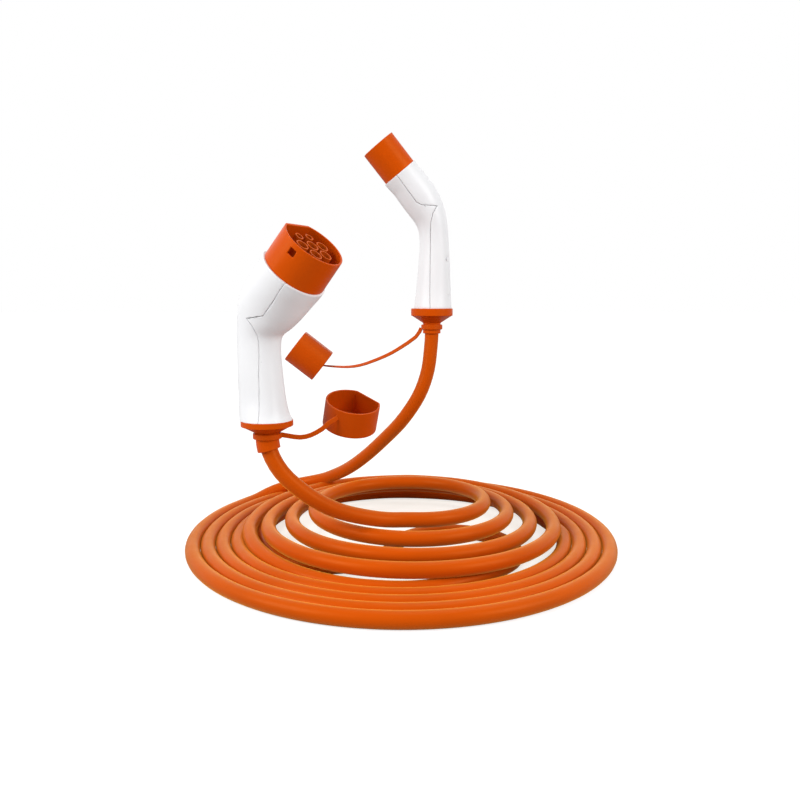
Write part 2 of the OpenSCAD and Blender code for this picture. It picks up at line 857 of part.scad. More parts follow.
// The stepped hole of one socket in the connector's carrier
module socket_hole(socket_r, pin_r) {
    translate([0, 0, ledge - cut])
        cylinder(h = socket_shoulder + cut, r = socket_r + shoulder_step + slip);
    translate([0, 0, ledge])
        cylinder(h = socket_tip - ledge, r = socket_r + slip);
    translate([0, 0, ledge])
        cylinder(h = nose_face - ledge + cut, r = pin_r + entry_step);
}

module connector_power_sockets() {
    color(silver)
        at_connector_head() {
            socket(power_socket_r, power_pin_r + socket_slip, socket_tip);
            at_contacts(power_angles)
                socket(power_socket_r, power_pin_r + socket_slip, socket_tip);
        }
}

module connector_signal_sockets() {
    color(silver)
        at_connector_head()
            at_contacts(signal_angles)
                socket(signal_socket_r, signal_pin_r + socket_slip, socket_tip);
}

module connector_seal() {
    color(black)
        at_connector_head()
            seal(nose_spigot_r, nose_pocket_r, nose_set_back, nose_groove);
}

module connector_handle() {
    handle(connector_grip, connector_head, connector_tilt, nose_mouth_r, nose_set_back,
        nose_pocket_r, connector_screw_seats, connector_screw_tips);
}

module connector_back_shell() {
    color(white)
        at_connector()
            difference() {
                connector_handle();
                seam_side(connector_seam, connector_head, connector_tilt, connector_seam_mouth);
            }
}

module connector_front_shell() {
    color(white)
        at_connector()
            intersection() {
                connector_handle();
                seam_side(connector_seam, connector_head, connector_tilt, connector_seam_mouth);
            }
}

module connector_cable_clamp() {
    color(black)
        at_connector()
            cable_clamp();
}

module connector_clamp_screws() {
    color(silver)
        at_connector()
            clamp_screws();
}

module connector_shell_screws() {
    color(silver)
        at_connector()
            shell_screws(connector_screw_seats, connector_screw_tips);
}

module connector_hole_plugs() {
    color(white)
        at_connector()
            hole_plugs(connector_grip, connector_head, connector_tilt, nose_mouth_r, nose_set_back,
                connector_screw_seats);
}

module connector_strain_relief() {
    color(orange)
        at_connector()
            strain_relief(nose_flange_r, nose_flange, nose_cone_r, nose_cone, nose_neck_r, nose_neck);
}

module connector_cable_end() {
    color(orange)
        at_connector() {
            translate([0, 0, -nose_neck_drop])
                cylinder(h = nose_neck_drop + sheath_top, r = cable_r);
            conductors(connector_head, connector_tilt, connector_core_rise);
        }
}

// The connector's cap: a cup that slips over the nose, on a strap with a ring
module connector_cap() {
    color(orange) {
        translate(nose_cap_at)
            rotate(nose_cap_turn)
                difference() {
                    dee_prism(nose_cap_inner_r + nose_cap_wall, nose_set_back, 0,
                        nose_cap_floor + nose_cap_depth);
                    dee_prism(nose_cap_inner_r, nose_set_back, nose_cap_floor,
                        nose_cap_floor + nose_cap_depth + cut);
                }
        strap(nose_strap_route, [0, 0, 1], [0, 1, 0]);
        translate(connector_at - [0, 0, nose_flange + nose_cone + nose_ring_drop + nose_ring_height])
            neck_ring(nose_neck_r, nose_ring_height);
    }
}

// The outer shape of the coiled turns
module cable_coil() {
    color(orange)
        rotate_extrude($fn = coil_sides)
            polygon(coil_section);
}

// A free stretch of the cable, from a neck's end into the coil
module lead(neck_end, first, route, aside) {
    path = smooth(concat([neck_end], route), 2);
    difference() {
        tube(path, first, undef, aside, cable_r, lead_sides);
        cable_coil();
    }
}

module plug_lead() {
    color(orange)
        lead(plug_neck_end, plug_neck_heading, plug_route, [0, 1, 0]);
}

module connector_lead() {
    color(orange)
        lead(nose_neck_end, [0, 0, -1], connector_route, [0.5, 0.5, 0.7]);
}

plug_skirt();
plug_carrier();
plug_power_pins();
plug_signal_pins();
plug_seal();
plug_back_shell();
plug_front_shell();
plug_cable_clamp();
plug_clamp_screws();
plug_shell_screws();
plug_hole_plugs();
plug_strain_relief();
plug_cable_end();
plug_cap();
connector_nose();
connector_carrier();
connector_power_sockets();
connector_signal_sockets();
connector_seal();
connector_back_shell();
connector_front_shell();
connector_cable_clamp();
connector_clamp_screws();
connector_shell_screws();
connector_hole_plugs();
connector_strain_relief();
connector_cable_end();
connector_cap();
cable_coil();
plug_lead();
connector_lead();
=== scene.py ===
"""Dresses a packed charging cable for an electric car: its cord, its two handles, and all finishes.

Lengths are in millimetres where a piece is designed and in metres where Blender holds it.
"""

import logging
import math
from collections.abc import Iterable, Sequence
from dataclasses import dataclass, field
from enum import Enum

import bmesh
import bpy
from mathutils import Matrix, Vector

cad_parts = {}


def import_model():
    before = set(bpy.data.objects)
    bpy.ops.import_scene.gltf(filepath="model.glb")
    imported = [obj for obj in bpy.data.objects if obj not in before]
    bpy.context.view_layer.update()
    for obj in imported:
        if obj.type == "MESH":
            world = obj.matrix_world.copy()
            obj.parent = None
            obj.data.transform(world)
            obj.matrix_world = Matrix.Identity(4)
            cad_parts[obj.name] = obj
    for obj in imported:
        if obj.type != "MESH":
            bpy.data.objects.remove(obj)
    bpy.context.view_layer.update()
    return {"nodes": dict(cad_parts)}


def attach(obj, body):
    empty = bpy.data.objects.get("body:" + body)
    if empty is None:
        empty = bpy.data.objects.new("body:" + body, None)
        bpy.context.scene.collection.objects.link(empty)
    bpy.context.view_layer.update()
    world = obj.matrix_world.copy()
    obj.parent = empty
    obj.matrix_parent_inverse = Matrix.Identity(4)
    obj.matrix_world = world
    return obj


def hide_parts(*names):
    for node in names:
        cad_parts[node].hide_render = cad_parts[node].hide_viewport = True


LOG = logging.getLogger("charging_cable")
MM = 0.001

# Sides of a round tool body.
ROD_SIDES = 32
# Angle in degrees up to which neighbouring faces shade as one.
SMOOTH_UP_TO = 32.0
# Share of a ring's depth from which it counts as having no flat.
FULLY_ROUND = 0.999
# Least cosine of half a corner's turn that a mitre is worked out with.
LEAST_MITRE = 0.4

Point = tuple[float, float, float]
Colour = tuple[float, float, float]
Pair = tuple[float, float]
Piece = bpy.types.Object
Socket = bpy.types.NodeSocket
Row = list[float]


class End(Enum):
    """The two ends of the cable: the one for the charging point and the one for the car."""

    PLUG = "plug"
    CONNECTOR = "connector"


class Cut(Enum):
    """What a tool body does: it takes its own space out of a piece, or keeps only that."""

    AWAY = "DIFFERENCE"
    KEEP = "INTERSECT"


class Side(Enum):
    """The two shells of a handle: the one behind the seam and the one in front of it."""

    BACK = "back"
    FRONT = "front"


def deselect() -> None:
    """Leaves edit mode and deselects every object."""
    if bpy.context.object and bpy.context.object.mode != "OBJECT":
        bpy.ops.object.mode_set(mode="OBJECT")
    bpy.ops.object.select_all(action="DESELECT")


def activate(piece: Piece) -> None:
    """Makes one object the only selected and active one.

    Args:
        piece: The object.
    """
    deselect()
    piece.select_set(True)
    bpy.context.view_layer.objects.active = piece


def turn(angle: float, axis: str, centre: Sequence[float]) -> None:
    """Turns the selection anticlockwise, as seen from the tip of an axis."""
    bpy.ops.transform.rotate(value=-angle, orient_axis=axis, center_override=tuple(centre))


def apply_modifier(piece: Piece, kind: str, **settings: object) -> None:
    """Adds one modifier to a piece and applies it.

    Args:
        piece: The object to change.
        kind: Blender's name of the modifier.
        settings: Values of the modifier's own properties.
    """
    activate(piece)
    modifier = piece.modifiers.new(kind.lower(), kind)
    for name, value in settings.items():
        setattr(modifier, name, value)
    bpy.ops.object.modifier_apply(modifier=modifier.name)


def duplicate(piece: Piece, name: str) -> Piece:
    """A copy of a piece with its own mesh, selected and active.

    Args:
        piece: The object to copy.
        name: The copy's name.

    Returns:
        The copy.
    """
    made = bpy.data.objects.new(name, piece.data.copy())
    bpy.context.collection.objects.link(made)
    activate(made)
    return made


def carve(piece: Piece, tool: Piece, cut: Cut) -> None:
    """Cuts a piece with a tool body.

    Args:
        piece: The object to change.
        tool: The body that cuts, which goes away afterwards.
        cut: What the tool does.
    """
    apply_modifier(piece, "BOOLEAN", object=tool, operation=cut.value, solver="EXACT")
    bpy.data.objects.remove(tool)


def ease_edges(piece: Piece, width: float, segments: int, corner: float) -> None:
    """Rounds the sharp edges of a piece.

    Args:
        piece: The object to change.
        width: Width of the rounding in millimetres.
        segments: Faces across the rounding.
        corner: Angle in degrees from which an edge counts as sharp.
    """
    apply_modifier(piece, "BEVEL", width=width * MM, segments=segments, limit_method="ANGLE",
                   angle_limit=math.radians(corner), use_clamp_overlap=False)


def outline_prism(name: str, points: Sequence[Pair], half: float) -> Piece:
    """A prism along Y through an outline in the side view.

    Args:
        name: The new object's name.
        points: The outline's (x, z) points in millimetres, anticlockwise or clockwise.
        half: Half of its length along Y, in millimetres.

    Returns:
        The prism.
    """
    deselect()
    bpy.ops.mesh.primitive_circle_add(vertices=len(points), radius=1, fill_type="NGON")
    prism = bpy.context.object
    prism.name = name
    bpy.ops.object.mode_set(mode="EDIT")
    for index, (x, z) in enumerate(points):
        mesh = bmesh.from_edit_mesh(prism.data)
        mesh.verts.ensure_lookup_table()
        for vertex in mesh.verts:
            vertex.select = vertex.index == index
        mesh.select_flush_mode()
        way = Vector((x, -half, z)) * MM - mesh.verts[index].co
        bpy.ops.transform.translate(value=way)
    bpy.ops.mesh.select_all(action="SELECT")
    bpy.ops.mesh.extrude_region_move(TRANSFORM_OT_translate={"value": (0, 2 * half * MM, 0)})
    bpy.ops.mesh.select_all(action="SELECT")
    bpy.ops.mesh.normals_make_consistent(inside=False)
    bpy.ops.object.mode_set(mode="OBJECT")
    return prism


def offset_line(points: Sequence[Pair], shift: float) -> list[Pair]:
    """An open line moved to its right side by a distance, its corners mitred.

    Args:
        points: The line's (x, z) points.
        shift: How far it moves.

    Returns:
        The moved points.
    """
    moved = []
    for index, point in enumerate(points):
        here = Vector(point)
        before = here - Vector(points[index - 1]) if index else Vector(points[1]) - here
        after = Vector(points[index + 1]) - here if index + 1 < len(points) else before
        before.normalize()
        after.normalize()
        normal = Vector((before.y + after.y, -before.x - after.x))
        normal.normalize()
        reach = shift / max(normal.dot(Vector((before.y, -before.x))), LEAST_MITRE)
        moved.append(tuple(here + normal * reach))
    return moved


def rod(radius: float, low: Point, high: Point) -> Piece:
    """A round tool body between two points.

    Args:
        radius: Its radius in millimetres.
        low: One end, in millimetres.
        high: The other end, in millimetres.

    Returns:
        The rod.
    """
    deselect()
    way = (Vector(high) - Vector(low)) * MM
    middle = (Vector(high) + Vector(low)) * MM / 2
    bpy.ops.mesh.primitive_cylinder_add(
        vertices=ROD_SIDES, radius=radius * MM, depth=way.length, location=middle,
        rotation=way.to_track_quat("Z", "Y").to_euler())
    body = bpy.context.object
    bpy.ops.object.transform_apply(location=True, rotation=True, scale=True)
    return body


def finish_mesh(piece: Piece) -> None:
    """Puts a piece's place in its mesh and smooths its shading.

    Args:
        piece: The object to finish.
    """
    activate(piece)
    bpy.ops.object.transform_apply(location=True, rotation=True, scale=True)
    bpy.ops.object.shade_smooth_by_angle(angle=math.radians(SMOOTH_UP_TO))


def blend(a: Vector, b: Vector, c: Vector, d: Vector, t: float) -> Vector:
    """A point between b and c on a smooth curve through four points, at a share t of the way."""
    return 0.5 * (2 * b + (c - a) * t + (2 * a - 5 * b + 4 * c - d) * t * t
                  + (3 * b - a - 3 * c + d) * t * t * t)


def smooth(points: Sequence[Sequence[float]], steps: int) -> list[Vector]:
    """A list of points or rows made finer by smooth curves between them.

    Args:
        points: The points, all with the same number of values.
        steps: How many parts each stretch is cut into.

    Returns:
        The finer list.
    """
    given = [Vector(point) for point in points]
    last = len(given) - 1
    finer = [blend(given[max(i - 1, 0)], given[i], given[i + 1], given[min(i + 2, last)], k / steps)
             for i in range(last) for k in range(steps)]
    return finer + [given[last]]


def even(points: Sequence[Vector], spacing: float) -> list[Vector]:
    """Points at an even spacing along a line, its two ends kept.

    Args:
        points: The line's points.
        spacing: The distance to keep, which is rounded so that it fits.

    Returns:
        The evenly spaced points.
    """
    total = sum((b - a).length for a, b in zip(points, points[1:]))
    count = round(total / spacing)
    step, gone, result = total / count, 0.0, [points[0]]
    for a, b in zip(points, points[1:]):
        length = (b - a).length
        while length and gone + length >= step * len(result) and len(result) < count:
            result.append(a.lerp(b, (step * len(result) - gone) / length))
        gone += length
    return result + [points[-1]]


def on_circle(centre: Sequence[float], radius: float, angle: float, z: float) -> Vector:
    """A point on a level circle, at an angle in degrees."""
    turned = math.radians(angle)
    return Vector((centre[0] + radius * math.cos(turned), centre[1] + radius * math.sin(turned), z))


def round_middle(places: Iterable[Point]) -> list[Vector]:
    """Points about the coil's middle, from the angle, radius and height of each."""
    return [on_circle((0, 0), radius, angle, z) for angle, radius, z in places]


@dataclass(frozen=True)
class Noise:
    """A noise pattern.

    Attributes:
        scale: Features a metre.
        detail: How many finer layers lie on it.
        layering: The weight of those layers.
    """

    scale: float
    detail: float = 2.0
    layering: float = 0.5


class Graph:
    """The node tree of a material or a world, written as short calls."""

    def __init__(self, owner: bpy.types.Material | bpy.types.World) -> None:
        """Empties the node tree.

        Args:
            owner: The material or world that it belongs to.
        """
        owner.use_nodes = True
        self.tree = owner.node_tree
        self.tree.nodes.clear()

    def node(self, kind: str, inputs: dict[str | int, object] | None = None,
             **settings: object) -> bpy.types.Node:
        """Adds a node.

        Args:
            kind: The node's type, without its ShaderNode prefix.
            inputs: Values, or sockets to link from, by input name or number.
            settings: The node's own properties.

        Returns:
            The node.
        """
        made = self.tree.nodes.new("ShaderNode" + kind)
        for name, value in settings.items():
            setattr(made, name, value)
        for key, value in (inputs or {}).items():
            socket = made.inputs[key]
            if isinstance(value, Socket):
                self.tree.links.new(value, socket)
            else:
                socket.default_value = value
        return made

    def noise(self, place: Socket, pattern: Noise) -> Socket:
        """Adds a noise pattern.

        Args:
            place: The socket of the place where it is read.
            pattern: The pattern.

        Returns:
            The socket of its value.
        """
        made = self.node("TexNoise", {"Vector": place, "Scale": pattern.scale,
                                      "Detail": pattern.detail, "Roughness": pattern.layering})
        return made.outputs["Fac"]

    def ramp(self, source: Socket, low: float, high: float,
             to_low: float = 0.0, to_high: float = 1.0) -> Socket:
        """Maps a value from one range to another, smoothly.

        Args:
            source: The value's socket.
            low: The value that becomes to_low.
            high: The value that becomes to_high.
            to_low: Start of the new range.
            to_high: End of the new range.

        Returns:
            The result's socket.
        """
        mapped = self.node("MapRange", {0: source, 1: low, 2: high, 3: to_low, 4: to_high},
                           interpolation_type="SMOOTHSTEP")
        return mapped.outputs[0]

    def mix(self, share: Socket, first: Sequence[float], second: Sequence[float]) -> Socket:
        """Mixes two colours.

        Args:
            share: The socket of the second colour's share.
            first: The first colour.
            second: The second colour.

        Returns:
            The result's socket.
        """
        made = self.node("Mix", {0: share, 6: first, 7: second}, data_type="RGBA")
        return made.outputs[2]


def rgba(colour: Colour) -> tuple[float, float, float, float]:
    """A colour with full opacity."""
    return (*colour, 1.0)


@dataclass(frozen=True)
class Moulding:
    """A moulded plastic or rubber: even colour with a slow drift, fine grain, rubbed patches.

    Attributes:
        name: The material's name.
        colour: Its colour, linear.
        shade: The tone that the drift leads to.
        roughness: Its roughness where it is rubbed smooth.
        dulling: How much rougher it is elsewhere.
        grain: Scale of the fine grain, in features a metre.
        relief: Height of the grain in metres.
        gloss: The share of light that its surface reflects.
        tint: The tint of what it reflects head on.
        bloom: Weight of the soft light skin that shows where it is seen edge on.
        bloom_tint: The tint of that skin.
        bloom_spread: How far that skin reaches in from the edge.
        drift: The slow drift of the colour.
        drift_span: Values of the drift at which the shade begins and is full.
        patches: The rubbed patches.
        patch_span: Values of the patches at which the dulling begins and is full.
        bump: How strongly the grain shows.
    """

    name: str
    colour: Colour
    shade: Colour
    roughness: float
    dulling: float
    grain: float
    relief: float
    gloss: float = 0.4
    tint: Colour = (1.0, 1.0, 1.0)
    bloom: float = 0.0
    bloom_tint: Colour = (1.0, 0.5, 0.1)
    bloom_spread: float = 0.45
    drift: Noise = Noise(9.0, 3.0)
    drift_span: Pair = (0.35, 0.75)
    patches: Noise = Noise(55.0, 5.0, 0.62)
    patch_span: Pair = (0.3, 0.7)
    bump: float = 0.5

    def build(self) -> bpy.types.Material:
        """Makes the material.

        Returns:
            The material.
        """
        material = bpy.data.materials.new(self.name)
        graph = Graph(material)
        place = graph.node("TexCoord").outputs["Object"]
        slow, patch = graph.noise(place, self.drift), graph.noise(place, self.patches)
        fine = graph.noise(place, Noise(self.grain))
        colour = graph.mix(graph.ramp(slow, *self.drift_span), rgba(self.colour), rgba(self.shade))
        dull = graph.ramp(patch, *self.patch_span, self.roughness, self.roughness + self.dulling)
        bump = graph.node("Bump", {"Height": fine, "Strength": self.bump, "Distance": self.relief})
        shader = graph.node("BsdfPrincipled", {
            "Base Color": colour, "Roughness": dull, "Normal": bump.outputs[0],
            "Specular IOR Level": self.gloss, "Specular Tint": rgba(self.tint),
            "Sheen Weight": self.bloom, "Sheen Roughness": self.bloom_spread,
            "Sheen Tint": rgba(self.bloom_tint)})
        graph.node("OutputMaterial", {"Surface": shader.outputs[0]})
        return material


@dataclass(frozen=True)
class Metal:
    """A plated or turned metal: fine turning marks and a slight tarnish.

    Attributes:
        name: The material's name.
        colour: Its colour, linear.
        tarnish: The duller tone in its patches.
        roughness: Its roughness where it is brightest.
        dulling: How much rougher it is where it is tarnished.
        patches: The tarnished patches.
        tarnish_span: Values of the patches at which the tarnish begins and is full.
        dull_span: Values of the patches at which the dulling begins and is full.
        marks: The turning marks.
        bump: How strongly the marks show.
        relief: Their height in metres.
    """

    name: str
    colour: Colour
    tarnish: Colour
    roughness: float
    dulling: float = 0.18
    patches: Noise = Noise(260.0, 4.0)
    tarnish_span: Pair = (0.45, 0.8)
    dull_span: Pair = (0.3, 0.75)
    marks: Noise = Noise(2600.0)
    bump: float = 0.3
    relief: float = 0.00004

    def build(self) -> bpy.types.Material:
        """Makes the material.

        Returns:
            The material.
        """
        material = bpy.data.materials.new(self.name)
        graph = Graph(material)
        place = graph.node("TexCoord").outputs["Object"]
        patch, fine = graph.noise(place, self.patches), graph.noise(place, self.marks)
        colour = graph.mix(graph.ramp(patch, *self.tarnish_span),
                           rgba(self.colour), rgba(self.tarnish))
        dull = graph.ramp(patch, *self.dull_span, self.roughness, self.roughness + self.dulling)
        bump = graph.node("Bump", {"Height": fine, "Strength": self.bump, "Distance": self.relief})
        shader = graph.node("BsdfPrincipled", {
            "Base Color": colour, "Roughness": dull, "Normal": bump.outputs[0], "Metallic": 1.0})
        graph.node("OutputMaterial", {"Surface": shader.outputs[0]})
        return material


Finish = Moulding | Metal

WARM = (1.0, 0.5, 0.12)
ORANGE_MOULDING = Moulding("orange_moulding", (0.60, 0.073, 0.001), (0.55, 0.066, 0.001),
                           0.30, 0.10, 1500.0, 0.00003, 0.2, WARM)
# The contact carrier's orange moulding with painted shade: it is darker and browner than the
# skirt's orange because it sits in shade deep inside the skirt.
CARRIER_WITH_PAINTED_SHADE = Moulding("carrier", (0.54, 0.080, 0.003), (0.49, 0.071, 0.003),
                   0.38, 0.12, 1800.0, 0.00003, 0.35, WARM)
WHITE_SHELL = Moulding("white_shell", (0.82, 0.82, 0.83), (0.79, 0.79, 0.805),
                       0.32, 0.10, 1700.0, 0.00003, 0.35)
INNER_PLASTIC = Moulding("inner_plastic", (0.015, 0.015, 0.017), (0.02, 0.02, 0.022),
                         0.55, 0.12, 1600.0, 0.00006)
SEAL_RUBBER = Moulding("seal_rubber", (0.012, 0.012, 0.012), (0.018, 0.018, 0.018),
                       0.62, 0.15, 1900.0, 0.00005, 0.3)
SHEATH = Moulding("sheath", (0.56, 0.070, 0.001), (0.50, 0.062, 0.001),
                  0.30, 0.10, 1100.0, 0.00003, 0.15, WARM, 0.9, (1.0, 0.47, 0.06))
CAP_RUBBER = Moulding("cap_rubber", (0.55, 0.067, 0.001), (0.50, 0.059, 0.001),
                      0.38, 0.12, 1300.0, 0.00004, 0.3, WARM)
CONTACT = Metal("contact", (0.72, 0.72, 0.74), (0.52, 0.50, 0.47), 0.14)
SCREW = Metal("screw", (0.52, 0.52, 0.54), (0.36, 0.35, 0.33), 0.28)

END_FINISHES: dict[str, Finish] = {
    "carrier": CARRIER_WITH_PAINTED_SHADE, "seal": SEAL_RUBBER, "back_shell": WHITE_SHELL,
    "front_shell": WHITE_SHELL, "hole_plugs": WHITE_SHELL, "cable_clamp": INNER_PLASTIC,
    "clamp_screws": SCREW, "shell_screws": SCREW, "strain_relief": ORANGE_MOULDING,
    "cable_end": SHEATH, "cap": CAP_RUBBER, "lead": SHEATH}

NODE_FINISHES: dict[str, Finish] = {
    **{f"{end.value}_{part}": finish for end in End for part, finish in END_FINISHES.items()},
    "plug_skirt": ORANGE_MOULDING, "connector_nose": ORANGE_MOULDING,
    "plug_power_pins": CONTACT, "plug_signal_pins": CONTACT,
    "connector_power_sockets": CONTACT, "connector_signal_sockets": CONTACT,
    "cable_coil": SHEATH}


class Paint:
    """The finishes of the whole object, each made once."""

    def __init__(self) -> None:
        """Starts with no material made."""
        self.made: dict[str, bpy.types.Material] = {}

    def of(self, finish: Finish) -> bpy.types.Material:
        """The material of a finish.

        Args:
            finish: The finish.

        Returns:
            Its material.
        """
        if finish.name not in self.made:
            self.made[finish.name] = finish.build()
        return self.made[finish.name]

    def dress_node(self, node: Piece, finish: Finish) -> None:
        """Gives a CAD node its finish in its object's own slots.

        Args:
            node: The node's object.
            finish: The finish.
        """
        for slot in node.material_slots:
            slot.link = "OBJECT"
            slot.material = self.of(finish)

    def dress_piece(self, piece: Piece, finish: Finish) -> None:
        """Gives a new piece its finish.

        Args:
            piece: The new piece.
            finish: The finish.
        """
        piece.data.materials.clear()
        piece.data.materials.append(self.of(finish))


@dataclass(frozen=True)
class Lamp:
    """A soft square lamp.

    Attributes:
        name: Its name.
        place: Where it hangs, in metres.
        size: Its width in metres.
        power: Its power in watts.
    """

    name: str
    place: Point
    size: float
    power: float

    def hang(self, aim: Point) -> None:
        """Hangs the lamp.

        Args:
            aim: The place that it points to, in metres.
        """
        lamp = bpy.data.lights.new(self.name, "AREA")
        lamp.size, lamp.energy = self.size, self.power
        holder = bpy.data.objects.new(self.name, lamp)
        holder.location = self.place
        way = Vector(aim) - Vector(self.place)
        holder.rotation_euler = way.to_track_quat("-Z", "Y").to_euler()
        bpy.context.collection.objects.link(holder)


@dataclass
class Studio:
    """The floor, the light and the camera.

    Attributes:
        floor_size: Width of the floor in metres.
        floor_tone: The floor's own grey, on which the shadow falls.
        glow: How bright the floor looks near the object and far from it.
        glow_span: Where that change begins and ends, in metres from the middle.
        painted_bounce: Painted bounce light: the warm tone of the floor's glow inside the coil,
            standing in for the light that the orange sheath throws there.
        painted_bounce_span: Where that painted bounce begins to fade and is gone, in metres
            from the middle.
        sky: Strength of the plain light from all round.
        lamps: The lamps.
        aim: The place that the lamps point to, in metres.
        eye: The camera's place in metres.
        dip: How far the camera looks down, in degrees.
        lens: Its focal length in millimetres.
        sensor: Width of its sensor in millimetres.
        sight: How far it sees, in metres.
    """

    floor_size: float = 30.0
    floor_tone: float = 0.45
    glow: Pair = (0.74, 0.9)
    glow_span: Pair = (0.45, 2.2)
    painted_bounce: Colour = (1.0, 0.97, 0.9)
    painted_bounce_span: Pair = (0.14, 0.27)
    sky: float = 0.38
    lamps: tuple[Lamp, ...] = (
        Lamp("key", (-1.5, -0.95, 1.2), 1.1, 33.0), Lamp("top", (0.3, 0.3, 2.2), 1.2, 8.0),
        Lamp("fill", (1.55, -1.05, 1.0), 1.0, 24.0))
    aim: Point = (0.0, 0.0, 0.15)
    eye: Point = (-0.00085, -0.860, 0.293)
    dip: float = 7.94
    lens: float = 32.4
    sensor: float = 36.0
    sight: float = 100.0

    def build(self) -> None:
        """Makes the floor, the world, the lamps and the camera."""
        self.lay_floor()
        self.light_world()
        for lamp in self.lamps:
            lamp.hang(self.aim)
        self.stand_camera()
        bpy.context.scene.view_settings.view_transform = "Standard"

    def stand_camera(self) -> None:
        """The camera at the photograph's place and angle."""
        camera = bpy.data.cameras.new("camera")
        camera.lens, camera.sensor_width, camera.clip_end = self.lens, self.sensor, self.sight
        stand = bpy.data.objects.new("camera", camera)
        stand.location = self.eye
        stand.rotation_euler = (math.radians(90 - self.dip), 0, 0)
        bpy.context.collection.objects.link(stand)
        bpy.context.scene.camera = stand

    def lay_floor(self) -> None:
        """A wide floor that shows nearly white to the camera but keeps the object's shadow."""
        deselect()
        bpy.ops.mesh.primitive_plane_add(size=self.floor_size)
        floor = bpy.context.object
        floor.name = "floor"
        material = bpy.data.materials.new("floor")
        graph = Graph(material)
        place = graph.node("TexCoord").outputs["Object"]
        away = graph.node("VectorMath", {0: place}, operation="LENGTH").outputs["Value"]
        share = graph.ramp(away, *self.glow_span, *self.glow)
        seen = graph.node("LightPath").outputs["Is Camera Ray"]
        strength = graph.node("Math", {0: seen, 1: share}, operation="MULTIPLY")
        paint = graph.node("BsdfDiffuse", {"Color": rgba((self.floor_tone,) * 3)})
        # Painted bounce light: inside the coil the glow's colour turns warm cream, standing in for
        # the light that the orange sheath throws on the floor.
        tone = graph.mix(graph.ramp(away, *self.painted_bounce_span), rgba(self.painted_bounce), (1, 1, 1, 1))
        glow = graph.node("Emission", {"Strength": strength.outputs[0], "Color": tone})
        both = graph.node("AddShader", {0: paint.outputs[0], 1: glow.outputs[0]})
        graph.node("OutputMaterial", {"Surface": both.outputs[0]})
        floor.data.materials.append(material)

    def light_world(self) -> None:
        """A plain world that shows white to the camera, to gloss and through glass."""
        world = bpy.data.worlds.new("studio")
        bpy.context.scene.world = world
        graph = Graph(world)
        path = graph.node("LightPath").outputs
        seen = graph.node("Math", {0: path["Is Camera Ray"], 1: path["Is Glossy Ray"]},
                          operation="MAXIMUM")
        shown = graph.node("Math", {0: seen.outputs[0], 1: path["Is Transmission Ray"]},
                           operation="MAXIMUM")
        strength = graph.node("MapRange", {
            "Value": shown.outputs[0], "To Min": self.sky, "To Max": 1.0})
        light = graph.node("Background", {"Color": (1, 1, 1, 1), "Strength": strength.outputs[0]})
        graph.node("OutputWorld", {"Surface": light.outputs[0]})


